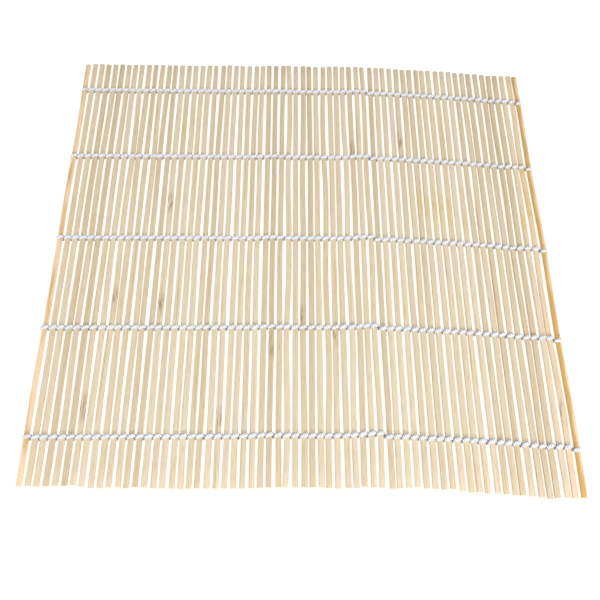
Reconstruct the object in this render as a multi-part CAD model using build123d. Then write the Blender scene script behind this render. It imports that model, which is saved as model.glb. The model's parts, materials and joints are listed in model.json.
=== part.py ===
from build123d import *
import math
import os

# A flexible rolling mat: flat bamboo slats side by side, bound by five rows of cotton twine.
# Every row has two strands. Each strand passes over one slat and under the next, and the two
# strands change sides in every gap, so one strand always lies over a slat and one under it.
# X runs across the slats, the way the mat rolls. Y runs along the slats, with the front at -Y.
# Z is up, and z = 0 is the plane on which the undersides of the stitches lie.

# Driving sizes, in millimetres
slat_width = 2.55
slat_thickness = 1.6
slat_edge_radius = 0.6    # of the four long edges
slat_length = 240.0
slat_end_chamfer = 0.12
strand_diameter = 0.76
hold_gap = 0.08       # between a strand and the slat that it passes
pass_room = 0.23      # more than a strand and its two hold gaps, left between two slats
strand_gap = 0.14     # between the two strands where they pass each other
joint_gap = 0.1       # round the ball at which a strand bends from one link to the next
ball_step = 0.02      # how much smaller than the strand that ball is
sag_depth = 6.7       # how far the right-hand half of the mat is bowed towards the front
slant_rise = 2.0      # how far a row climbs from the middle of the mat to its edge

# Counts and shares
pair_slats = 2
triple_slats = 3
triple_links = 5
pair_links = 25
row_place_shares = (0.423, 0.233, 0.021, -0.185, -0.408)   # of the slat length, back row first
arc_share = 0.45      # of the shorter of two runs, the stretch that the arc between them takes
flat_share = 0.1      # of the strand diameter, the depth of the flat underneath

# Sizes that follow
strand_radius = strand_diameter / 2
hold_reach = hold_gap + strand_radius
stitch_rise = slat_thickness / 2 + hold_reach
edge_reach = slat_width / 2 + hold_reach
hug_radius = slat_edge_radius + hold_reach
pitch = slat_width + strand_diameter + 2 * hold_gap + pass_room
side_step = strand_radius + strand_gap / 2
flat_depth = flat_share * strand_diameter
slat_height = stitch_rise + strand_radius - flat_depth
slat_count = triple_links * triple_slats + pair_links * pair_slats
half_span = pitch * (slat_count - 1) / 2
link_count = triple_links + pair_links

# A strand goes down through a gap along the line that touches the rounded edges on both sides
edge_out = hug_radius + pass_room / 2
edge_up = slat_thickness / 2 - slat_edge_radius
strand_lean = math.acos(hug_radius / math.hypot(edge_out, edge_up)) - math.atan2(edge_up, edge_out)
half_stitch = pitch / 2 - stitch_rise * math.tan(strand_lean)


def slat_x(slat):
    """Place of a slat across the mat, counted from the left-hand edge."""
    return slat * pitch - half_span


def bow(x):
    """How far the mat has slid along its slats at a place across it, as it lies."""
    along = x / half_span
    return slant_rise * along - sag_depth * max(along, 0) ** 2


bows = [bow(slat_x(slat)) for slat in range(slat_count)]
bow_middle = (max(bows) + min(bows)) / 2


def bowed_y(x):
    """Place along the slats at a place across the mat, with the whole mat centred."""
    return bow(x) - bow_middle


def slat_y(slat):
    """Place of a slat along its length."""
    return bowed_y(slat_x(slat))


def links():
    """The first and last slat of every link, from the right-hand edge to the left."""
    sizes = [triple_slats] * triple_links + [pair_slats] * pair_links
    last = slat_count - 1
    spans = []
    for size in sizes:
        spans.append((last - size + 1, last))
        last -= size
    return spans


def is_over(slat, strand):
    """Whether a strand, 0 or 1, passes over a slat."""
    return (slat + strand) % 2 == 0


def stitch(slat, strand, left_reach, right_reach):
    """The two corners of a strand's run across one slat, the left one first."""
    side = -side_step if is_over(slat, strand) else side_step
    height = slat_height + (stitch_rise if is_over(slat, strand) else -stitch_rise)
    left_x = slat_x(slat) - left_reach
    right_x = slat_x(slat) + right_reach
    left = Vector(left_x, bowed_y(left_x) + side, height)
    right = Vector(right_x, bowed_y(right_x) - side, height)
    return [left, right]


def crossing(slat, strand):
    """Where a strand goes through the gap to the left of a slat, on the axis that it bends about."""
    side = -side_step if is_over(slat, strand) else side_step
    x = slat_x(slat) - pitch / 2
    return Vector(x, bowed_y(x) + side, slat_height)


def strand_points(first, last, strand):
    """The corners of one strand from the left of a link to its right."""
    points = []
    if first > 0:
        points.append(crossing(first, strand))
    for slat in range(first, last + 1):
        left_reach = edge_reach if slat == 0 else half_stitch
        right_reach = edge_reach if slat == slat_count - 1 else half_stitch
        points += stitch(slat, strand, left_reach, right_reach)
    if last < slat_count - 1:
        points.append(crossing(last + 1, strand))
    return points


def routes(first, last):
    """The routes of the twine in one row of a link: two strands, or one that turns back."""
    one = strand_points(first, last, 0)
    other = strand_points(first, last, 1)
    if first == 0:
        return [one[::-1] + other]
    if last == slat_count - 1:
        return [one + other[::-1]]
    return [one, other]


def arc_radii(points):
    """The radius of the arc at every corner, as large as its two runs and the slat's edge allow."""
    radii = []
    for before, corner, after in zip(points, points[1:], points[2:]):
        turn = (corner - before).get_angle(after - corner)
        # A run to a crossing goes on beyond it, in the next link, so it counts double
        in_run = (corner - before).length * (2 if before is points[0] else 1)
        out_run = (after - corner).length * (2 if after is points[-1] else 1)
        room = arc_share * min(in_run, out_run) / math.tan(math.radians(turn / 2))
        radii.append(min(room, hug_radius))
    return radii


def strand_solid(points, balls, sockets):
    """One strand along its route, with its balls, its sockets and the flat underneath."""
    radii = arc_radii(points)
    path = FilletPolyline(*points, radius=radii)
    section = Plane(origin=path @ 0, z_dir=path % 0) * Circle(strand_radius)
    tube = sweep(section, path=path)
    share = tube.volume / (math.pi * strand_radius ** 2 * path.length)
    for place in balls:
        tube = tube + Pos(place) * Sphere(strand_radius - ball_step)
    for place in sockets:
        tube = tube - Pos(place) * Sphere(strand_radius + joint_gap)
    ground = Pos(0, slat_y(0), 0) * Box(
        2 * half_span + 2 * pitch, slat_length, 2 * strand_diameter,
        align=(Align.CENTER, Align.CENTER, Align.MAX))
    return (tube - ground).solids()[0], path.length, share, radii


def slat_solid(slat):
    """One slat: a flat bamboo stick with rounded long edges and its two cut ends eased."""
    section = Plane.XZ * RectangleRounded(slat_width, slat_thickness, slat_edge_radius)
    stick = extrude(section, amount=slat_length / 2, both=True)
    cut_faces = stick.faces().filter_by(Axis.Y)
    stick = chamfer(cut_faces.edges(), slat_end_chamfer)
    return Pos(slat_x(slat), slat_y(slat), slat_height) * stick


def twine_solids(first, last):
    """The twine of one link: the same strands in each of the rows."""
    solids = []
    report = []
    for points in routes(first, last):
        ends = [points[0], points[-1]]
        left_axis = slat_x(first) - pitch / 2
        at_left = [end for end in ends if first > 0 and abs(end.X - left_axis) < strand_radius]
        at_right = [end for end in ends if end not in at_left]
        strand, length, share, radii = strand_solid(points, at_left, at_right)
        report.append((length, share, min(radii), max(radii)))
        for row_share in row_place_shares:
            solids.append(Pos(0, row_share * slat_length, 0) * strand)
    return solids, report


os.makedirs("parts", exist_ok=True)
strand_total = 0
least_radius = pitch
shares = []
for number, (first, last) in enumerate(links(), start=1):
    slats = Compound(children=[slat_solid(slat) for slat in range(first, last + 1)])
    export_step(slats, f"parts/slats_{number:02d}.step")
    solids, report = twine_solids(first, last)
    export_step(Compound(children=solids), f"parts/twine_{number:02d}.step")
    strand_total += sum(length for length, share, low, high in report)
    least_radius = min([least_radius] + [low for length, share, low, high in report])
    shares += [share for length, share, low, high in report]

print(f"slats {slat_count}, links {link_count}, pitch {pitch:.3f}, height of a slat {slat_height:.3f}")
print(f"gap between slats {pitch - slat_width:.3f}, strand lean {math.degrees(strand_lean):.2f} degrees")
print(f"twine in one row {strand_total:.1f}, least arc radius {least_radius:.3f}")
print(f"swept volume against section times length {min(shares):.5f} to {max(shares):.5f}")
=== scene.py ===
import json
import math
import random
from collections import namedtuple

import bmesh
import bpy
from bpy.props import FloatProperty, FloatVectorProperty, IntProperty, PointerProperty
from mathutils import Matrix, Vector, noise


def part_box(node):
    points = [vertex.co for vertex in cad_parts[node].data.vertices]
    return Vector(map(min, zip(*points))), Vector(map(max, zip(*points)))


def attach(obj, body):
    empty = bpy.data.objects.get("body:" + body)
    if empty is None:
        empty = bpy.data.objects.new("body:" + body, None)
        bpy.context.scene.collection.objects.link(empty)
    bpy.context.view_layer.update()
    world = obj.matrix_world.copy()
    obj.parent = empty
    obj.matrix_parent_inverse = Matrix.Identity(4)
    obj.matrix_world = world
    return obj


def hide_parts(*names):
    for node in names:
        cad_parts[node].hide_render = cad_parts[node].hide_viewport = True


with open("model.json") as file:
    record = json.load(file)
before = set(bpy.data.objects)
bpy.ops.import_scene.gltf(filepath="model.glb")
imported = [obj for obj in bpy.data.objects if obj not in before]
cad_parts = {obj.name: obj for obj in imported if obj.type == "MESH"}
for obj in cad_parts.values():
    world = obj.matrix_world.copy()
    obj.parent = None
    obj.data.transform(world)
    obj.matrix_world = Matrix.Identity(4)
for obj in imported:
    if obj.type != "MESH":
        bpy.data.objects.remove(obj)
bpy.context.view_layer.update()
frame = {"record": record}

# A rolling mat of flat bamboo slats, bound by five rows of two-strand cotton twine.
# X runs across the slats, Y along them with the front at -Y, and Z is up.
# Every slat is its own piece. The twine is one piece for each link that the mat bends into.

bl_info = {
    "name": "Bamboo rolling mat",
    "version": (1, 0, 0),
    "blender": (4, 5, 0),
    "location": "3D View > Sidebar > Rolling mat",
    "description": "Dresses a packed rolling mat in bamboo slats and cotton twine",
    "category": "Object",
}

MM = 0.001

# Sizes of the construction that the frame's boxes don't give, in millimetres
SLAT_LENGTH = 240.0
STRAND_DIAMETER = 0.76
HOLD_GAP = 0.08
SAG_DEPTH = 6.7
SLANT_RISE = 2.0
STRAND_LEAN = math.radians(17.55)
ROW_PLACE_SHARES = (0.423, 0.233, 0.021, -0.185, -0.408)

# Where the slats have slipped along their length, as slat and slip in millimetres
SLIPS = (
    (0, 0.0), (25, 0.0), (28, 0.5), (30, 0.2), (32, 0.0), (36, 0.1), (40, 0.85), (43, 0.45),
    (47, 0.0), (57, 0.0), (60, -0.3), (62, 0.4), (64, 0.5))

# How far each row as a whole sits off its place, in millimetres, back row first
ROW_SLIPS = (-0.45, -0.4, -0.3, -0.4, 0.2)

# How far the stitches sit off their row, as slat and step in millimetres: those right of the middle
# and the last one have slipped
STITCH_SLIPS = (
    (0, 0.0), (38, 0.0), (40, 0.45), (41, 0.7), (42, -0.6), (44, 0.0), (63, 0.0), (64, -0.9))

# How far the front ends are cut back, as slat and cut in millimetres; less than none is longer
FRONT_CUTS = (
    (0, 0.9), (6, 0.8), (8, 0.0), (16, -0.7), (28, -0.8), (31, -0.4), (33, -0.4), (36, -1.0),
    (42, -1.2), (45, -0.1), (49, -0.1), (51, -0.7), (60, -0.7), (62, -0.4), (64, 0.2))

# Bamboo nodes with brown dashes, as slat and place along it in millimetres
KNOTS = (
    (6, -84.0), (8, -29.5), (14, 26.0), (14, -33.0), (22, -90.5), (28, -54.5), (32, -40.0),
    (36, -48.5), (39, 60.0), (46, 67.5), (63, -81.5))
KNOT_REACH = 8.0

# Stretches that the node has turned yellow, on slats that were split side by side
YELLOWED = (
    (4, 9.5), (15, 75.5), (48, 27.5), (49, 26.0), (50, 25.0), (51, 24.5), (52, 24.5), (54, 19.0),
    (62, 20.0), (63, 25.5), (63, 38.0), (63, 51.5))
YELLOW_REACH = 13.0

# How much golden rind the outermost slats keep, as slat and share. The slat at the right-hand edge
# isn't among them: its left side has a larger share than its right, and its paler right side is a
# painted highlight on its glossy rind.
RIND = ((0, 0.5), (1, 0.08), (2, 0.0), (61, 0.0), (62, 0.06), (63, 0.2))
EDGE_RIND_AND_HIGHLIGHT = (0.85, 0.45)

# Slats that stand out from their neighbours in the photograph
PALE_SLATS = (18, 38, 43, 45, 53)
DULL_SLATS = (3, 5, 33, 60, 61)

# Patterns in the bamboo, as their size across and along the slat in millimetres. Single fibres are
# finer than this: they are drawn as bundles, as coarse as they need to show.
FIBRES = (0.16, 7.0)
STREAKS = (0.8, 55.0)
HONEY_LINES = (0.4, 90.0)
CLOUDS = (2.2, 15.0)
DASHES = (0.42, 5.5)
SMUDGES = (2.4, 5.0)
RIND_PATCHES = (2.0, 24.0)
END_BUNDLE = 0.24

STREAK_SHARE = 0.4      # how much of the streaks shows over a slat's own colour
CLOUD_SHARE = 0.28      # and how much of the clouds
FIBRE_RELIEF = 0.05     # how high the fibres stand, in millimetres

# The painted shadow that each row of twine casts on a slat, as distance behind its row in
# millimetres and depth
ROW_SHADOW_MARK = ((0.9, 0.0), (1.4, 1.0), (1.9, 1.0), (2.8, 0.0))

# The seeds of all that is drawn by chance: each slat has its own, a step apart
SEED = 65
TINT_SEED = 60636       # picked from many: pale and dark slats lie a little as in the photograph
SEED_STEP = 1000

# How bright and how tan the slats are that stand out, and how tan the others, with their spread
PALE_TINT = (1.0, 0.36)
DULL_TINT = (0.15, 0.65)
USUAL_HUE = (0.5, 0.15)

# How far one slat departs from the next, in millimetres, and the shape of its bends
USUAL_SHIFT = 0.1
USUAL_LEAN = 0.12
USUAL_ARCH = 0.26
ARCH_MIDDLE = 0.4       # taken off the arch, so that it lies on both sides of its slat's line
USUAL_SWAY = 0.17
SWAY_WAVES = 1.3        # waves in half a slat
GIRTH_SPREAD = 0.05     # as a share of the girth
SWELL_RATES = (0.5, 0.03)   # of the slow swell of a slat, per millimetre across and along it
SWELL_SHARE = 0.05      # of the girth
KNOT_SWELL = 0.05       # and as much again at a node
SWELL_STEP = 7.0        # from slat to slat, so that no two swell alike
LIFT = 0.1              # how far a slat waves up and down, in millimetres
LIFT_RATES = (3.7, 1.3, 5.0)    # of that wave, from slat to slat, along a slat, and its start
END_SHARE = 0.98        # beyond this share of half a slat, its vertices are its end's
END_FACING = 0.9        # a face that looks along its slat more than this is its end's
KNOT_CUTS = (-1.0, -0.5, -0.15, 0.15, 0.5, 1.0)     # cuts round a node, in shares of its reach

# The twine
PLIES = 4
YARN_FIBRE_LENGTH = 1.25    # in millimetres
YARN_FIBRES_ROUND = 40.0    # round a strand
YARN_RELIEF = 0.06      # how high the plies and fibres stand, in millimetres
CAP_ANGLES = (35, 65, 90)   # of the rings that close the end of a strand, in degrees
# Painted shade on the twine where it goes down into a gap: how steeply it comes in, and from what
# depth
TUCK_SHADE_RISE = 1.6         # how steeply the twine darkens where it goes down into a gap
TUCK_SHADE_START = 0.4
WIDTH_POWER = 0.7       # below one, so that a strand spreads out early as it comes up
UNEVEN_RATE = 0.45      # of the strands' straying, per millimetre
MERGE_DISTANCE = 0.001  # in millimetres

# The studio
FLOOR_DROP = 0.02       # below the mat, in millimetres
HORIZON_HEIGHTS = (0.1, 0.4)    # of the line of sight, between which the surround dims

# The node that mixes two colours: its two ways of laying one over the other, and its sockets
PAINT = {"data_type": "RGBA", "blend_type": "MIX"}
STAIN = {"data_type": "RGBA", "blend_type": "MULTIPLY"}
FACTOR, FIRST, SECOND, MIXED = 0, 6, 7, 2


def srgb(text):
    """A colour written as sRGB hex, as linear red, green and blue."""
    parts = [int(text[i:i + 2], 16) / 255 for i in (1, 3, 5)]
    return tuple(p / 12.92 if p <= 0.04045 else ((p + 0.055) / 1.055) ** 2.4 for p in parts)


# The layout, read from the frame

Link = namedtuple("Link", "body slats_node twine_node first last")


def read_links():
    """The links from the right-hand edge to the left, with the slats that each one holds."""
    record = frame["record"]
    pieces = record["physics"]["collision_pieces"]
    bodies = record["behaviour"]["bodies"].items()
    counts = {body: pieces[nodes[0]] for body, nodes in bodies}
    last = sum(counts.values()) - 1
    links = []
    for body, nodes in bodies:
        links.append(Link(body, nodes[0], nodes[1], last - counts[body] + 1, last))
        last -= counts[body]
    return links


def slats_box(link):
    """How many steps lie between the slats of a link, and its box in millimetres."""
    low, high = (Vector(corner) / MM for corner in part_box(link.slats_node))
    return link.last - link.first, low, high


LINKS = read_links()
SLAT_COUNT = LINKS[0].last + 1
RIGHT_STEPS, RIGHT_LOW, RIGHT_HIGH = slats_box(LINKS[0])
LEFT_STEPS, LEFT_LOW, LEFT_HIGH = slats_box(LINKS[-1])
PITCH = (RIGHT_HIGH.x - RIGHT_LOW.x - LEFT_HIGH.x + LEFT_LOW.x) / (RIGHT_STEPS - LEFT_STEPS)
SLAT_WIDTH = RIGHT_HIGH.x - RIGHT_LOW.x - PITCH * RIGHT_STEPS
SLAT_THICKNESS = RIGHT_HIGH.z - RIGHT_LOW.z
SLAT_HEIGHT = (RIGHT_HIGH.z + RIGHT_LOW.z) / 2
HALF_SPAN = PITCH * (SLAT_COUNT - 1) / 2
HOLD_REACH = HOLD_GAP + STRAND_DIAMETER / 2
STITCH_RISE = SLAT_THICKNESS / 2 + HOLD_REACH
EDGE_REACH = SLAT_WIDTH / 2 + HOLD_REACH
HALF_STITCH = PITCH / 2 - STITCH_RISE * math.tan(STRAND_LEAN)
ROW_PLACES = [share * SLAT_LENGTH + slip for share, slip in zip(ROW_PLACE_SHARES, ROW_SLIPS)]


def slat_x(slat):
    """Place of a slat across the mat, counted from the left-hand edge, in millimetres."""
    return slat * PITCH - HALF_SPAN


def bow(x):
    """How far the mat has slid along its slats at a place across it, as it lies."""
    along = x / HALF_SPAN
    return SLANT_RISE * along - SAG_DEPTH * max(along, 0) ** 2


BOWS = [bow(slat_x(slat)) for slat in range(SLAT_COUNT)]
BOW_MIDDLE = (max(BOWS) + min(BOWS)) / 2


def look_up(table, slat):
    """The value for a slat in a table of slats and values, between its two neighbours there."""
    for (before, low), (after, high) in zip(table, table[1:]):
        if slat <= after:
            return low + (high - low) * (slat - before) / (after - before)
    return table[-1][1]


def slat_y(slat):
    """Place of a slat along its length, in millimetres."""
    return BOWS[slat] - BOW_MIDDLE + look_up(SLIPS, slat)


def nearness(table, slat, place, reach):
    """How near a place on a slat is to those in a table, from 0 at the reach to 1."""
    offs = [abs(place - there) for known, there in table if known == slat]
    return max(0.0, 1 - min(offs) / reach) if offs else 0.0


# How one slat differs from the next

Habit = namedtuple("Habit", "shift lean arch sway roll girth front_cut back_cut tone hue turn")


def slat_tint(slat):
    """How bright a slat is and how tan, each from 0 to 1."""
    if slat in PALE_SLATS:
        return PALE_TINT
    if slat in DULL_SLATS:
        return DULL_TINT
    tint = random.Random(TINT_SEED * SEED_STEP + slat)
    return tint.random(), max(0.0, min(1.0, tint.gauss(*USUAL_HUE)))


def slat_habit(slat, settings):
    """The small ways in which this slat departs from a straight even stick."""
    chance = random.Random(SEED * SEED_STEP + slat)
    tone, hue = slat_tint(slat)
    spread = settings.wander
    ragged = settings.ragged_ends / MM
    return Habit(
        shift=chance.gauss(0, USUAL_SHIFT) * spread,
        lean=chance.gauss(0, USUAL_LEAN) * spread,
        arch=chance.gauss(0, USUAL_ARCH) * spread,
        sway=chance.gauss(0, USUAL_SWAY) * spread,
        roll=chance.gauss(0, settings.roll),
        girth=settings.fullness + chance.uniform(-GIRTH_SPREAD, GIRTH_SPREAD),
        front_cut=chance.gauss(0, ragged) + look_up(FRONT_CUTS, slat),
        back_cut=chance.gauss(0, ragged),
        tone=tone,
        hue=hue,
        turn=chance.uniform(0, 2 * math.pi),
    )


def slat_shift(habit, along, settings):
    """Sideways place of a slat at a share along its length, -1 at the front and 1 at the back."""
    along = max(-1.0, min(1.0, along))
    shift = habit.shift + habit.lean * along + habit.arch * (along * along - ARCH_MIDDLE)
    shift += habit.sway * math.sin(2 * math.pi * SWAY_WAVES * along + habit.turn)
    most = settings.most_shift / MM
    return max(-most, min(most, shift))


# Materials

def add_node(tree, kind, settings=None, links=None, stops=()):
    """One shader node: its settings, its inputs as values or others' outputs, and its stops."""
    node = tree.nodes.new(kind)
    for name, value in (settings or {}).items():
        setattr(node, name, value)
    for name, value in (links or {}).items():
        socket = node.inputs[name]
        if isinstance(value, bpy.types.NodeSocket):
            tree.links.new(value, socket)
        elif socket.type == "RGBA":
            socket.default_value = (*value, 1)
        else:
            socket.default_value = value
    if stops:
        elements = node.color_ramp.elements
        while len(elements) < len(stops):
            elements.new(0.5)
        for element, (place, colour) in zip(elements, stops):
            element.position = place
            element.color = (*colour, 1)
    return node


def new_material(name):
    """A material and its tree, with no nodes in it."""
    material = bpy.data.materials.new(name)
    material.use_nodes = True
    material.node_tree.nodes.clear()
    return material, material.node_tree


def attribute_parts(tree, name):
    """The three numbers that a vertex colour holds."""
    colour = add_node(tree, "ShaderNodeAttribute", {"attribute_name": name}).outputs["Color"]
    parts = add_node(tree, "ShaderNodeSeparateColor", links={"Color": colour})
    return parts.outputs[0], parts.outputs[1], parts.outputs[2]


def grain(tree, place, size, detail, seed):
    """Noise drawn out along the slat, with its size across and along it in millimetres."""
    across, along = (1 / (part * MM) for part in size)
    scaled = add_node(tree, "ShaderNodeMapping", links={
        "Vector": place, "Location": (seed, seed, seed), "Scale": (across, along, across)})
    return add_node(tree, "ShaderNodeTexNoise", {"noise_dimensions": "3D"}, {
        "Vector": scaled.outputs["Vector"], "Scale": 1.0, "Detail": detail, "Roughness": 0.55,
    }).outputs["Fac"]


def grain_marks(tree, pattern, low, high, most, where=None):
    """Where a grain pattern rises from low to high, as a factor up to its most, in some places."""
    marks = add_node(tree, "ShaderNodeMapRange", links={
        "Value": pattern, "From Min": low, "From Max": high, "To Max": most}).outputs["Result"]
    if where is None:
        return marks
    return add_node(tree, "ShaderNodeMath", {"operation": "MULTIPLY"}, {
        0: marks, 1: where}).outputs["Value"]


def row_shadow_stops():
    """Stops for the brown painted shadow that each row of twine casts on the slats, just behind the
    row.
    """
    stops = [(0.0, (0, 0, 0))]
    for place in sorted(ROW_PLACES):
        for reach, depth in ROW_SHADOW_MARK:
            stops.append(((place + reach) / SLAT_LENGTH + 0.5, (depth, depth, depth)))
    return stops


def bamboo_ground(tree, place, fibre, tone, hue, settings):
    """Bare bamboo: each slat its own cream, with long streaks, soft clouds and fine dark fibres."""
    colour = add_node(tree, "ShaderNodeValToRGB", links={"Fac": hue}, stops=(
        (0.0, settings.pale_colour), (0.5, settings.cream_colour), (1.0, settings.tan_colour),
    )).outputs["Color"]
    streak = grain(tree, place, STREAKS, detail=2.0, seed=0.0)
    streaked = add_node(tree, "ShaderNodeValToRGB", links={"Fac": streak}, stops=(
        (0.32, settings.grey_colour), (0.47, settings.pale_colour), (0.58, settings.cream_colour),
        (0.72, settings.tan_colour))).outputs["Color"]
    colour = add_node(tree, "ShaderNodeMix", PAINT, {
        FACTOR: STREAK_SHARE, FIRST: colour, SECOND: streaked}).outputs[MIXED]
    cloud = grain(tree, place, CLOUDS, detail=1.0, seed=15.2)
    clouded = add_node(tree, "ShaderNodeValToRGB", links={"Fac": cloud}, stops=(
        (0.38, settings.straw_colour), (0.62, settings.pink_colour))).outputs["Color"]
    colour = add_node(tree, "ShaderNodeMix", PAINT, {
        FACTOR: CLOUD_SHARE, FIRST: colour, SECOND: clouded}).outputs[MIXED]
    dark_fibre = grain_marks(tree, fibre, low=0.48, high=0.3, most=0.5)
    colour = add_node(tree, "ShaderNodeMix", STAIN, {
        FACTOR: dark_fibre, FIRST: colour, SECOND: settings.fibre_colour}).outputs[MIXED]
    shade = grain_marks(tree, tone, low=0.5, high=0.0, most=0.5)
    return add_node(tree, "ShaderNodeMix", STAIN, {
        FACTOR: shade, FIRST: colour, SECOND: settings.grey_colour}).outputs[MIXED]


def split_bamboo(settings):
    """Split bamboo, planed and left bare: pale and satin, with the straight streaks of fibres."""
    material, tree = new_material("split_bamboo_planed")
    place = add_node(tree, "ShaderNodeTexCoord").outputs["Object"]
    tone, hue, yellowed = attribute_parts(tree, "stick")
    knot, rind, along = attribute_parts(tree, "marks")
    fibre = grain(tree, place, FIBRES, detail=3.0, seed=3.1)
    colour = bamboo_ground(tree, place, fibre, tone, hue, settings)

    lines = grain(tree, place, HONEY_LINES, detail=1.0, seed=5.9)
    honey = grain_marks(tree, lines, low=0.64, high=0.73, most=0.7)
    colour = add_node(tree, "ShaderNodeMix", PAINT, {
        FACTOR: honey, FIRST: colour, SECOND: settings.honey_colour}).outputs[MIXED]
    patches = grain(tree, place, RIND_PATCHES, detail=1.0, seed=11.4)
    ripe = add_node(tree, "ShaderNodeMath", {"operation": "MULTIPLY_ADD"}, {
        0: patches, 1: 0.7, 2: rind}).outputs["Value"]
    golden = add_node(tree, "ShaderNodeValToRGB", links={"Fac": ripe}, stops=(
        (0.82, settings.pale_rind_colour), (1.38, settings.rind_colour))).outputs["Color"]
    kept_rind = grain_marks(tree, rind, low=0.0, high=0.5, most=0.85)
    colour = add_node(tree, "ShaderNodeMix", PAINT, {
        FACTOR: kept_rind, FIRST: colour, SECOND: golden}).outputs[MIXED]
    smudge = grain(tree, place, SMUDGES, detail=1.0, seed=21.5)
    yellow = grain_marks(tree, smudge, low=0.25, high=0.6, most=0.6, where=yellowed)
    colour = add_node(tree, "ShaderNodeMix", PAINT, {
        FACTOR: yellow, FIRST: colour, SECOND: settings.node_colour}).outputs[MIXED]
    dashes = grain(tree, place, DASHES, detail=2.0, seed=7.7)
    brown = grain_marks(tree, dashes, low=0.44, high=0.58, most=0.8, where=knot)
    colour = add_node(tree, "ShaderNodeMix", PAINT, {
        FACTOR: brown, FIRST: colour, SECOND: settings.dash_colour}).outputs[MIXED]
    # Painted shadow that each row of twine casts on the slat just behind it, broken up by the
    # smudges
    pressed = add_node(tree, "ShaderNodeValToRGB", links={"Fac": along}, stops=row_shadow_stops())
    row_shadow_share = grain_marks(tree, smudge, low=0.35, high=0.7, most=0.6, where=pressed.outputs["Color"])
    colour = add_node(tree, "ShaderNodeMix", PAINT, {
        FACTOR: row_shadow_share, FIRST: colour, SECOND: settings.row_shadow_colour}).outputs[MIXED]

    shine = add_node(tree, "ShaderNodeMapRange", links={
        "Value": fibre, "To Min": 0.44, "To Max": 0.62}).outputs["Result"]
    polish = add_node(tree, "ShaderNodeMath", {"operation": "MULTIPLY_ADD"}, {
        0: rind, 1: -0.2, 2: shine}).outputs["Value"]
    bump = add_node(tree, "ShaderNodeBump", links={
        "Strength": 0.35, "Distance": FIBRE_RELIEF * MM, "Height": fibre}).outputs["Normal"]
    shader = add_node(tree, "ShaderNodeBsdfPrincipled", links={
        "Base Color": colour, "Roughness": polish, "Normal": bump, "IOR": 1.5})
    add_node(tree, "ShaderNodeOutputMaterial", links={"Surface": shader.outputs["BSDF"]})
    return material


def sawn_end(settings):
    """The sawn ends of the slats: pale end grain, speckled with the cut fibre bundles."""
    material, tree = new_material("split_bamboo_sawn_end")
    place = add_node(tree, "ShaderNodeTexCoord").outputs["Object"]
    bundles = add_node(tree, "ShaderNodeTexVoronoi", {"feature": "F1"}, {
        "Vector": place, "Scale": 1 / (END_BUNDLE * MM)}).outputs["Distance"]
    colour = add_node(tree, "ShaderNodeValToRGB", links={"Fac": bundles}, stops=(
        (0.1, settings.cream_colour), (0.35, settings.end_colour))).outputs["Color"]
    shader = add_node(tree, "ShaderNodeBsdfPrincipled", links={
        "Base Color": colour, "Roughness": 0.75, "IOR": 1.5})
    add_node(tree, "ShaderNodeOutputMaterial", links={"Surface": shader.outputs["BSDF"]})
    return material


def cotton_twine(settings):
    """Bleached cotton, twisted from four plies: matt and white, with painted cool shade in the
    grooves between the plies and where the twine goes down between the slats.
    """
    material, tree = new_material("bleached_cotton_twisted")
    surface = add_node(tree, "ShaderNodeUVMap", {"uv_map": "twist"}).outputs["UV"]
    # Painted shade, stored on the twine where it goes down between the slats
    painted_tuck_shade = add_node(tree, "ShaderNodeAttribute", {"attribute_name": "painted_tuck_shade"}).outputs["Fac"]
    parts = add_node(tree, "ShaderNodeSeparateXYZ", links={"Vector": surface})
    turns = add_node(tree, "ShaderNodeMath", {"operation": "MULTIPLY"}, {
        0: parts.outputs["Y"], 1: 2 * math.pi * PLIES}).outputs["Value"]
    wave = add_node(tree, "ShaderNodeMath", {"operation": "COSINE"}, {0: turns}).outputs["Value"]
    crest = add_node(tree, "ShaderNodeMath", {"operation": "MULTIPLY_ADD"}, {
        0: wave, 1: 0.5, 2: 0.5}).outputs["Value"]
    scaled = add_node(tree, "ShaderNodeMapping", links={
        "Vector": surface, "Scale": (1 / YARN_FIBRE_LENGTH, YARN_FIBRES_ROUND, 1.0)})
    fibre = add_node(tree, "ShaderNodeTexNoise", {"noise_dimensions": "2D"}, {
        "Vector": scaled.outputs["Vector"], "Scale": 1.0, "Detail": 3.0}).outputs["Fac"]
    # Painted shade: the grooves between the plies are coloured darker and cooler than the crests
    colour = add_node(tree, "ShaderNodeValToRGB", links={"Fac": crest}, stops=(
        (0.0, settings.ply_shade_and_fibre_colour), (0.45, settings.cotton_colour))).outputs["Color"]
    thin = grain_marks(tree, fibre, low=0.6, high=0.3, most=0.28)
    colour = add_node(tree, "ShaderNodeMix", STAIN, {
        FACTOR: thin, FIRST: colour, SECOND: settings.ply_shade_and_fibre_colour}).outputs[MIXED]
    # Painted shade where the twine goes down into the gaps between the slats
    colour = add_node(tree, "ShaderNodeMix", PAINT, {
        FACTOR: painted_tuck_shade, FIRST: colour, SECOND: settings.tuck_shade_colour}).outputs[MIXED]
    height = add_node(tree, "ShaderNodeMath", {"operation": "ADD"}, {
        0: fibre, 1: crest}).outputs["Value"]
    bump = add_node(tree, "ShaderNodeBump", links={
        "Strength": 0.5, "Distance": YARN_RELIEF * MM, "Height": height}).outputs["Normal"]
    shader = add_node(tree, "ShaderNodeBsdfPrincipled", links={
        "Base Color": colour, "Roughness": 0.9, "Normal": bump, "IOR": 1.45,
        "Sheen Weight": 0.25, "Sheen Roughness": 0.5})
    add_node(tree, "ShaderNodeOutputMaterial", links={"Surface": shader.outputs["BSDF"]})
    return material


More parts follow.
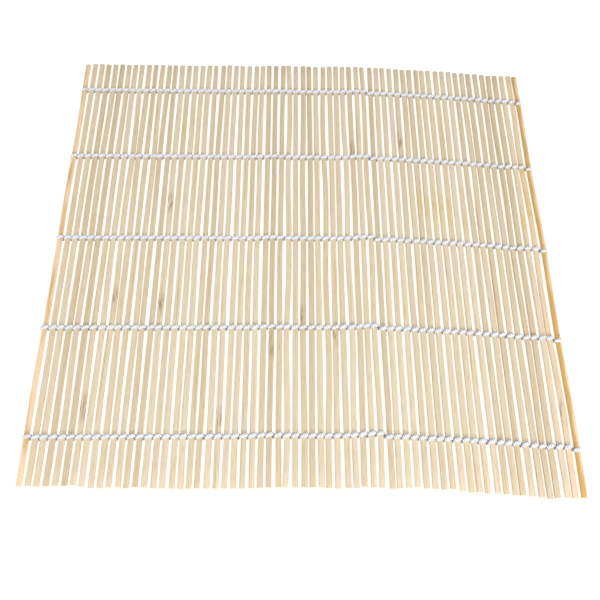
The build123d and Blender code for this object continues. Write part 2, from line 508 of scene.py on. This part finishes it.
def lit_white(settings):
    """The studio's white sweep, lit from below so that it stays white beside the mat."""
    material, tree = new_material("studio_white")
    shader = add_node(tree, "ShaderNodeBsdfPrincipled", links={
        "Base Color": settings.floor_colour, "Roughness": 0.9,
        "Emission Color": settings.glow_colour, "Emission Strength": settings.floor_glow})
    add_node(tree, "ShaderNodeOutputMaterial", links={"Surface": shader.outputs["BSDF"]})
    return material


# Slats

def finish_piece(name, bm, materials, body, node):
    """A bmesh made into a piece that rides on its body and stands for its node."""
    mesh = bpy.data.meshes.new(name)
    bm.to_mesh(mesh)
    bm.free()
    for material in materials:
        mesh.materials.append(material)
    piece = bpy.data.objects.new(name, mesh)
    bpy.context.scene.collection.objects.link(piece)
    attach(piece, body)
    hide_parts(node)


def blank_slat(slat, settings):
    """A flat bar with rounded long edges and eased ends, cut into stations along its length."""
    half = SLAT_LENGTH / 2
    bm = bmesh.new()
    scaled = Matrix.Diagonal((SLAT_WIDTH, SLAT_LENGTH, SLAT_THICKNESS, 1))
    bmesh.ops.create_cube(bm, size=1, matrix=scaled)
    long_edges = [e for e in bm.edges if e.calc_length() > half]
    bmesh.ops.bevel(
        bm, geom=long_edges, offset=settings.edge_radius / MM, offset_type="OFFSET",
        segments=settings.edge_segments, profile=0.5, affect="EDGES", material=-1)
    rims = [e for e in bm.edges if abs(e.verts[0].co.y - e.verts[1].co.y) < half]
    bmesh.ops.bevel(
        bm, geom=rims, offset=settings.end_easing / MM, offset_type="OFFSET",
        segments=settings.end_segments, profile=0.5, affect="EDGES", material=-1)
    bm.normal_update()
    for face in bm.faces:
        end = abs(face.normal.y) > END_FACING
        face.smooth = not end
        face.material_index = 1 if end else 0
    long_edges = [e for e in bm.edges if e.calc_length() > half]
    bmesh.ops.subdivide_edges(bm, edges=long_edges, cuts=settings.slat_stations, use_grid_fill=True)
    for known, place in KNOTS + YELLOWED:
        if known == slat:
            for share in KNOT_CUTS:
                bmesh.ops.bisect_plane(
                    bm, geom=bm.verts[:] + bm.edges[:] + bm.faces[:],
                    plane_co=(0, place + share * KNOT_REACH, 0), plane_no=(0, 1, 0))
    return bm


def rind_share(slat, across):
    """How much golden rind shows at a place across a slat, which only the outermost ones have."""
    if slat == SLAT_COUNT - 1:
        # The paler right-hand side of the edge slat is a painted highlight on its glossy rind
        left, right = EDGE_RIND_AND_HIGHLIGHT
        return right if across > 0 else left
    return look_up(RIND, slat)


def slat_bmesh(slat, settings):
    """One slat with its own lean, bow, roll, swell and nodes, in its place."""
    habit = slat_habit(slat, settings)
    half = SLAT_LENGTH / 2
    bm = blank_slat(slat, settings)
    stick = bm.verts.layers.float_color.new("stick")
    marks = bm.verts.layers.float_color.new("marks")
    middle = Vector((slat_x(slat), slat_y(slat), SLAT_HEIGHT))
    turned = Matrix.Rotation(habit.roll, 3, "Y")
    swell_across, swell_along = SWELL_RATES
    lift_across, lift_along, lift_start = LIFT_RATES
    for vert in bm.verts:
        place = vert.co.y
        along = place / half
        cell = Vector((
            vert.co.x * swell_across, place * swell_along,
            vert.co.z * swell_across + slat * SWELL_STEP))
        knot = nearness(KNOTS, slat, place, KNOT_REACH)
        yellow = nearness(YELLOWED, slat, place, YELLOW_REACH)
        girth = habit.girth * (1 + SWELL_SHARE * noise.noise(cell)) + KNOT_SWELL * knot
        rind = rind_share(slat, vert.co.x)
        vert.co = turned @ Vector((vert.co.x * girth, place, vert.co.z * girth))
        if abs(along) > END_SHARE:
            vert.co.y += habit.back_cut if along > 0 else habit.front_cut
        vert.co.x += slat_shift(habit, along, settings)
        wave = Vector((slat * lift_across, along * lift_along, lift_start))
        vert.co.z += LIFT * noise.noise(wave)
        vert.co = (vert.co + middle) * MM
        vert[stick] = (habit.tone, habit.hue, yellow, 1)
        vert[marks] = (knot, rind, (along + 1) / 2, 1)
    return bm


def make_slats(settings):
    """Every slat, from the right-hand edge to the left."""
    materials = [split_bamboo(settings), sawn_end(settings)]
    for link in LINKS:
        for slat in range(link.last, link.first - 1, -1):
            finish_piece(
                f"slat_{slat + 1:02d}", slat_bmesh(slat, settings), materials, link.body,
                link.slats_node)


# Twine

def is_over(slat, strand):
    """Whether a strand, 0 or 1, passes over a slat."""
    return (slat + strand) % 2 == 0


def stitch_corners(slat, strand, row_y, side_step, slat_settings):
    """The two corners of a strand's run across one slat, the left one first."""
    habit = slat_habit(slat, slat_settings)
    x = slat_x(slat) + slat_shift(habit, row_y / (SLAT_LENGTH / 2), slat_settings)
    over = is_over(slat, strand)
    side = -side_step if over else side_step
    z = SLAT_HEIGHT + (STITCH_RISE if over else -STITCH_RISE)
    y = row_y + slat_y(slat) + look_up(STITCH_SLIPS, slat)
    left = EDGE_REACH if slat == 0 else HALF_STITCH
    right = EDGE_REACH if slat == SLAT_COUNT - 1 else HALF_STITCH
    return [Vector((x - left, y + side, z)), Vector((x + right, y - side, z))]


def gap_crossing(slat, strand, row_y, side_step):
    """Where a strand goes through the gap to the left of a slat, on the axis of its bend."""
    side = -side_step if is_over(slat, strand) else side_step
    middle = (slat_y(slat - 1) + slat_y(slat)) / 2
    return Vector((slat_x(slat) - PITCH / 2, row_y + middle + side, SLAT_HEIGHT))


def link_routes(link, row_y, settings, slat_settings):
    """The control points of the twine in one row of a link: two strands, or one that turns back."""
    side = settings.strand_side / MM
    routes = []
    for strand in (0, 1):
        points = []
        if link.first > 0:
            points.append(gap_crossing(link.first, strand, row_y, side))
        for slat in range(link.first, link.last + 1):
            points += stitch_corners(slat, strand, row_y, side, slat_settings)
        if link.last < SLAT_COUNT - 1:
            points.append(gap_crossing(link.last + 1, strand, row_y, side))
        routes.append(points)
    if link.first == 0:
        return [routes[0][::-1] + routes[1]]
    if link.last == SLAT_COUNT - 1:
        return [routes[0] + routes[1][::-1]]
    return routes


def smooth_routes(routes, resolution):
    """The points along each route's NURBS spline."""
    curve = bpy.data.curves.new("route", "CURVE")
    curve.dimensions = "3D"
    for points in routes:
        spline = curve.splines.new("NURBS")
        spline.points.add(len(points) - 1)
        for point, place in zip(spline.points, points):
            point.co = (*place, 1)
        spline.order_u = 3
        spline.use_endpoint_u = True
        spline.resolution_u = resolution
    holder = bpy.data.objects.new("route", curve)
    bpy.context.scene.collection.objects.link(holder)
    graph = bpy.context.evaluated_depsgraph_get()
    mesh = bpy.data.meshes.new_from_object(holder.evaluated_get(graph))
    joined = {tuple(sorted(edge.vertices)) for edge in mesh.edges}
    chains = [[]]
    for index, vert in enumerate(mesh.vertices):
        if index and (index - 1, index) not in joined:
            chains.append([])
        chains[-1].append(vert.co.copy())
    bpy.data.objects.remove(holder)
    bpy.data.curves.remove(curve)
    bpy.data.meshes.remove(mesh)
    return chains


Ring = namedtuple("Ring", "centre normal side run size depth")


def strand_rings(points):
    """The rings of a strand: one at each point of its route, and a rounded cap beyond each end."""
    tangents = []
    for index in range(len(points)):
        ahead = points[min(index + 1, len(points) - 1)]
        behind = points[max(index - 1, 0)]
        tangents.append((ahead - behind).normalized())
    run = 0.0
    rings = []
    for index, (point, tangent) in enumerate(zip(points, tangents)):
        if index:
            run += (point - points[index - 1]).length
        normal = tangent.cross(Vector((0, 1, 0))).normalized()
        side = normal.cross(tangent)
        depth = 1 - min(1.0, abs(point.z - SLAT_HEIGHT) / STITCH_RISE)
        rings.append(Ring(point, normal, side, run, 1.0, depth))
    for end, way, tangent in ((0, -1, tangents[0]), (-1, 1, tangents[-1])):
        base = rings[end]
        caps = []
        for angle in CAP_ANGLES:
            turn = math.radians(angle)
            reach = STRAND_DIAMETER / 2 * math.sin(turn)
            caps.append(base._replace(
                centre=base.centre + tangent * way * reach, run=base.run + way * reach,
                size=max(0.0, math.cos(turn))))
        caps[-1] = caps[-1]._replace(size=0.0)
        rings = caps[::-1] + rings if way < 0 else rings + caps
    return rings


def add_strand(bm, points, uv_layer, tuck_shade_layer, settings):
    """One strand: a flat grid rolled round its route, its four plies twisted as it goes."""
    rings = strand_rings(points)
    grid = bmesh.ops.create_grid(
        bm, x_segments=len(rings) - 1, y_segments=settings.strand_sides, size=1, calc_uvs=True)
    length = rings[-1 - len(CAP_ANGLES)].run
    ply_turns = round(PLIES * length / (settings.lay / MM))
    thin, thick = settings.tuck_thick / MM, settings.strand_thick / MM
    narrow, wide = settings.tuck_wide / MM, settings.strand_wide / MM
    for vert in grid["verts"]:
        ring = rings[round((vert.co.x + 1) / 2 * (len(rings) - 1))]
        place = (vert.co.y + 1) / 2
        turn = 2 * math.pi * (place + ply_turns / PLIES * ring.run / length)
        crest = 1 - settings.groove * (0.5 - 0.5 * math.cos(2 * math.pi * PLIES * place))
        fullness = 1 - ring.depth
        height = thin + (thick - thin) * fullness
        width = narrow + (wide - narrow) * fullness ** WIDTH_POWER
        offset = ring.normal * math.cos(turn) * height / 2 + ring.side * math.sin(turn) * width / 2
        vert.co = ring.centre + offset * crest * ring.size
        # Painted shade where a strand goes down between two slats; the loops round the outer edges
        # lie in open light and get none
        if abs(ring.centre.x) < HALF_SPAN:
            tucked = min(1.0, max(0.0, TUCK_SHADE_RISE * ring.depth - TUCK_SHADE_START))
            vert[tuck_shade_layer] = settings.tuck_shade * tucked
    for face in {face for vert in grid["verts"] for face in vert.link_faces}:
        face.smooth = True
        for loop in face.loops:
            loop[uv_layer].uv.x *= length


def twine_bmesh(link, settings, slat_settings):
    """The twine of one link, in all five rows."""
    bm = bmesh.new()
    uv_layer = bm.loops.layers.uv.new("twist")
    # Painted shade for the twine where it goes down between the slats
    tuck_shade_layer = bm.verts.layers.float.new("painted_tuck_shade")
    routes = []
    for place in ROW_PLACES:
        routes += link_routes(link, place, settings, slat_settings)
    for points in smooth_routes(routes, settings.strand_resolution):
        add_strand(bm, points, uv_layer, tuck_shade_layer, settings)
    unevenness = settings.strand_unevenness / MM
    for vert in bm.verts:
        vert.co += noise.noise_vector(vert.co * UNEVEN_RATE) * unevenness
        vert.co.z = max(0.0, vert.co.z)
    bmesh.ops.scale(bm, vec=(MM, MM, MM), verts=bm.verts)
    bmesh.ops.remove_doubles(bm, verts=bm.verts, dist=MERGE_DISTANCE * MM)
    bmesh.ops.recalc_face_normals(bm, faces=bm.faces)
    return bm


def make_twine(settings, slat_settings):
    """The twine of every link."""
    noise.seed_set(SEED)    # without it, the strands would stray in another way at every run
    material = cotton_twine(settings)
    for link in LINKS:
        finish_piece(
            f"{link.twine_node}_yarn", twine_bmesh(link, settings, slat_settings), [material],
            link.body, link.twine_node)


# Stage

def make_floor(settings):
    """The white floor under the mat."""
    bm = bmesh.new()
    bmesh.ops.create_grid(bm, x_segments=1, y_segments=1, size=settings.floor_size)
    bmesh.ops.translate(bm, vec=(0, 0, -FLOOR_DROP * MM), verts=bm.verts)
    mesh = bpy.data.meshes.new("floor")
    bm.to_mesh(mesh)
    bm.free()
    mesh.materials.append(lit_white(settings))
    floor = bpy.data.objects.new("floor", mesh)
    bpy.context.scene.collection.objects.link(floor)


def make_surround(settings):
    """A white surround, bright at the horizon, where it meets the floor, and dimmer overhead."""
    world = bpy.data.worlds.new("studio")
    world.use_nodes = True
    tree = world.node_tree
    place = add_node(tree, "ShaderNodeTexCoord").outputs["Generated"]
    height = add_node(tree, "ShaderNodeSeparateXYZ", links={"Vector": place}).outputs["Z"]
    low, high = HORIZON_HEIGHTS
    strength = add_node(tree, "ShaderNodeMapRange", {"interpolation_type": "SMOOTHSTEP"}, {
        "Value": height, "From Min": low, "From Max": high, "To Min": settings.horizon,
        "To Max": settings.surround}).outputs["Result"]
    tree.links.new(strength, tree.nodes["Background"].inputs["Strength"])
    tree.nodes["Background"].inputs["Color"].default_value = (1, 1, 1, 1)
    bpy.context.scene.world = world


def make_softbox(name, place, width, power, tint):
    """One soft light that faces the middle of the mat."""
    light = bpy.data.lights.new(name, "AREA")
    light.size = width
    light.energy = power
    light.color = tint
    softbox = bpy.data.objects.new(name, light)
    softbox.location = place
    softbox.rotation_euler = (-Vector(place)).to_track_quat("-Z", "Y").to_euler()
    bpy.context.scene.collection.objects.link(softbox)


def make_lights(settings):
    """The main light from the front and the right, and a cooler one from the left that fills in."""
    make_softbox(
        "key", settings.key_place, settings.key_width, settings.key_power, settings.key_colour)
    make_softbox(
        "fill", settings.fill_place, settings.fill_width, settings.fill_power, settings.fill_colour)


def make_camera(settings):
    """The camera, in front of the mat and above it, turned and tilted as in the photograph."""
    lens = bpy.data.cameras.new("camera")
    lens.sensor_fit = "HORIZONTAL"
    lens.sensor_width = settings.sensor_width
    lens.lens = settings.sensor_width * settings.focal_share
    camera = bpy.data.objects.new("camera", lens)
    turned = Matrix.Rotation(settings.camera_yaw, 4, "Z")
    tilted = Matrix.Rotation(math.radians(90) - settings.camera_tilt, 4, "X")
    rolled = Matrix.Rotation(settings.camera_roll, 4, "Z")
    camera.matrix_world = Matrix.Translation(settings.camera_place) @ turned @ tilted @ rolled
    bpy.context.scene.collection.objects.link(camera)
    bpy.context.scene.camera = camera
    bpy.context.scene.view_settings.view_transform = "Standard"


# Settings

def colour_setting(name, description, text):
    """A colour that a user can change, with its default as sRGB hex."""
    return FloatVectorProperty(
        name=name, description=description, default=srgb(text), subtype="COLOR", min=0, max=1)


def length_setting(name, description, size):
    """A length that a user can change, with its default in millimetres."""
    return FloatProperty(
        name=name, description=description, default=size * MM, unit="LENGTH", precision=5)


def share_setting(name, description, default):
    """A share that a user can change, from nought to one."""
    return FloatProperty(
        name=name, description=description, default=default, subtype="FACTOR", min=0, max=1)


class MatSlatSettings(bpy.types.PropertyGroup):
    """What a user would change on the slats."""
    fullness: share_setting("Fullness", "Girth of a slat, in shares of the construction's", 0.985)
    edge_radius: length_setting("Edge radius", "Rounding of the long edges", 0.45)
    end_easing: length_setting("End easing", "Width of the eased edge at each end", 0.08)
    wander: FloatProperty(
        name="Wander", description="How far the slats lean and bow, in shares of the usual",
        default=1.0, min=0)
    most_shift: length_setting("Most shift", "The farthest that a slat strays to one side", 0.42)
    roll: FloatProperty(
        name="Roll", description="How far the slats turn about their length",
        default=math.radians(2.5), subtype="ANGLE")
    ragged_ends: length_setting("Ragged ends", "How unevenly the ends are cut", 0.16)
    edge_segments: IntProperty(
        name="Edge steps", description="Faces round a long edge", default=4, min=1)
    end_segments: IntProperty(
        name="End steps", description="Faces across the eased edge of an end", default=2, min=1)
    slat_stations: IntProperty(name="Stations", description="Cuts along a slat", default=23, min=1)
    pale_colour: colour_setting("Pale", "The palest slats and streaks", "#ECDFC9")
    cream_colour: colour_setting("Cream", "The usual slat", "#E3D0B0")
    tan_colour: colour_setting("Tan", "The darkest slats and streaks", "#D9BD93")
    grey_colour: colour_setting("Grey", "Greyer streaks, and the shade of duller slats", "#DFD7C6")
    straw_colour: colour_setting("Straw", "The yellower clouds", "#E2D6A6")
    pink_colour: colour_setting("Pink", "The pinker clouds", "#EBCCB4")
    fibre_colour: colour_setting("Fibre", "Fine dark fibres", "#C8B592")
    honey_colour: colour_setting("Honey", "Long honey-coloured lines", "#BE935A")
    pale_rind_colour: colour_setting("Pale rind", "Thin rind on the outermost slats", "#F8D7AE")
    rind_colour: colour_setting("Rind", "Full golden rind on the outermost slats", "#D2A34C")
    node_colour: colour_setting("Node", "Stretches that a node has turned yellow", "#D8BD62")
    dash_colour: colour_setting("Dashes", "Brown dashes at the nodes", "#8E5E34")
    # Painted shadow that each row of twine casts on the slats just behind it
    row_shadow_colour: colour_setting("Pressed", "Marks that the twine has pressed", "#8E6C42")
    end_colour: colour_setting("End grain", "The sawn ends", "#F3E4C4")


class MatTwineSettings(bpy.types.PropertyGroup):
    """What a user would change on the twine."""
    strand_side: length_setting("Side step", "How far a strand lies from its row's middle", 0.6)
    tuck_thick: length_setting("Tucked thickness", "Thickness of a strand between two slats", 0.88)
    tuck_wide: length_setting("Tucked width", "Width of a strand between two slats", 1.25)
    strand_thick: length_setting("Thickness", "Thickness of a strand on top of a slat", 1.0)
    strand_wide: length_setting("Width", "Width of a strand on top of a slat", 2.0)
    strand_unevenness: length_setting("Unevenness", "How far strands stray from their route", 0.12)
    lay: length_setting("Lay", "Length of one full turn of the plies", 4.2)
    groove: share_setting("Grooves", "Depth between the plies, as a share of the strand", 0.16)
    # Painted shade: how dark the twine is painted between two slats
    tuck_shade: share_setting("Tucked shade", "How dark the twine gets between two slats", 0.85)
    strand_sides: IntProperty(
        name="Sides", description="Faces round a strand", default=16, min=3)
    strand_resolution: IntProperty(
        name="Steps", description="Steps in each span of a route", default=6, min=1)
    cotton_colour: colour_setting("Cotton", "Bleached cotton on the crest of a ply", "#FBFAFA")
    # Painted shade in the grooves between the plies, and the colour of the thinner fibres
    ply_shade_and_fibre_colour: colour_setting(
        "Grooves", "Cotton between the plies and in its thinner fibres", "#BABFC8")
    # Painted shade on the cotton tucked in between two slats
    tuck_shade_colour: colour_setting("Tucked", "Cotton tucked in between two slats", "#757E8B")


class MatStageSettings(bpy.types.PropertyGroup):
    """The floor, the light and the camera."""
    floor_size: FloatProperty(
        name="Floor", description="Half the width of the floor", default=8.0, unit="LENGTH")
    floor_glow: FloatProperty(
        name="Glow", description="Strength of the light that the floor gives off", default=0.93)
    floor_colour: colour_setting("Floor colour", "Colour of the floor", "#7F7F7F")
    glow_colour: colour_setting("Glow colour", "Colour of that light", "#FFFEF8")
    surround: FloatProperty(
        name="Overhead", description="Strength of the surround overhead", default=0.36)
    horizon: FloatProperty(
        name="Horizon", description="Strength of the surround at the horizon", default=1.0)
    key_place: FloatVectorProperty(
        name="Key", description="Place of the main light", default=(0.32, -0.62, 0.78),
        subtype="XYZ", unit="LENGTH")
    key_width: FloatProperty(
        name="Key width", description="Width of the main light", default=0.2, unit="LENGTH")
    key_power: FloatProperty(
        name="Key power", description="Power of the main light", default=8.0, unit="POWER")
    key_colour: colour_setting("Key colour", "Colour of the main light", "#FFFFFF")
    fill_place: FloatVectorProperty(
        name="Fill", description="Place of the light that fills in", default=(-0.75, -0.15, 0.5),
        subtype="XYZ", unit="LENGTH")
    fill_width: FloatProperty(
        name="Fill width", description="Width of the light that fills in", default=0.6,
        unit="LENGTH")
    fill_power: FloatProperty(
        name="Fill power", description="Power of the light that fills in", default=2.2,
        unit="POWER")
    fill_colour: colour_setting("Fill colour", "Colour of the light that fills in", "#D2DFFF")
    camera_place: FloatVectorProperty(
        name="Camera", description="Place of the camera", default=(-0.0130, -0.2258, 0.3481),
        subtype="XYZ", unit="LENGTH")
    camera_yaw: FloatProperty(
        name="Yaw", description="Turn to the left", default=math.radians(-3.29), subtype="ANGLE")
    camera_tilt: FloatProperty(
        name="Tilt", description="Tilt below the horizon", default=math.radians(60.20),
        subtype="ANGLE")
    camera_roll: FloatProperty(
        name="Camera roll", description="Turn about the line of sight", default=math.radians(3.74),
        subtype="ANGLE")
    sensor_width: FloatProperty(
        name="Sensor", description="Width of the sensor", default=36.0, unit="CAMERA")
    focal_share: FloatProperty(
        name="Focal length", description="Focal length over the width of the image",
        default=846.2 / 600)


# Operators and panel

class MAT_OT_slats(bpy.types.Operator):
    """Make the bamboo slats"""
    bl_idname = "rolling_mat.slats"
    bl_label = "Bamboo slats"

    def execute(self, context):
        make_slats(context.scene.mat_slats)
        return {"FINISHED"}


class MAT_OT_twine(bpy.types.Operator):
    """Make the rows of cotton twine"""
    bl_idname = "rolling_mat.twine"
    bl_label = "Cotton twine"

    def execute(self, context):
        make_twine(context.scene.mat_twine, context.scene.mat_slats)
        return {"FINISHED"}


class MAT_OT_stage(bpy.types.Operator):
    """Make the floor, the surround, the lights and the camera"""
    bl_idname = "rolling_mat.stage"
    bl_label = "Stage"

    def execute(self, context):
        settings = context.scene.mat_stage
        make_floor(settings)
        make_surround(settings)
        make_lights(settings)
        make_camera(settings)
        return {"FINISHED"}


class MAT_PT_panel(bpy.types.Panel):
    """The mat's operators and settings"""
    bl_idname = "MAT_PT_panel"
    bl_label = "Rolling mat"
    bl_space_type = "VIEW_3D"
    bl_region_type = "UI"
    bl_category = "Rolling mat"

    def draw(self, context):
        for group, operator in GROUPS:
            box = self.layout.box()
            box.operator(operator.bl_idname)
            settings = getattr(context.scene, group)
            for name in settings.__annotations__:
                box.prop(settings, name)


GROUPS = (("mat_slats", MAT_OT_slats), ("mat_twine", MAT_OT_twine), ("mat_stage", MAT_OT_stage))
CLASSES = (
    MatSlatSettings, MatTwineSettings, MatStageSettings,
    MAT_OT_slats, MAT_OT_twine, MAT_OT_stage, MAT_PT_panel)


def register():
    """Make the settings, the operators and the panel known."""
    for cls in CLASSES:
        bpy.utils.register_class(cls)
    bpy.types.Scene.mat_slats = PointerProperty(type=MatSlatSettings)
    bpy.types.Scene.mat_twine = PointerProperty(type=MatTwineSettings)
    bpy.types.Scene.mat_stage = PointerProperty(type=MatStageSettings)


def unregister():
    """Take them away again, in reverse."""
    for group, _ in GROUPS:
        delattr(bpy.types.Scene, group)
    for cls in reversed(CLASSES):
        bpy.utils.unregister_class(cls)


def main():
    """Make the whole scene."""
    register()
    bpy.ops.rolling_mat.slats()
    bpy.ops.rolling_mat.twine()
    bpy.ops.rolling_mat.stage()


if __name__ == "__main__":
    main()
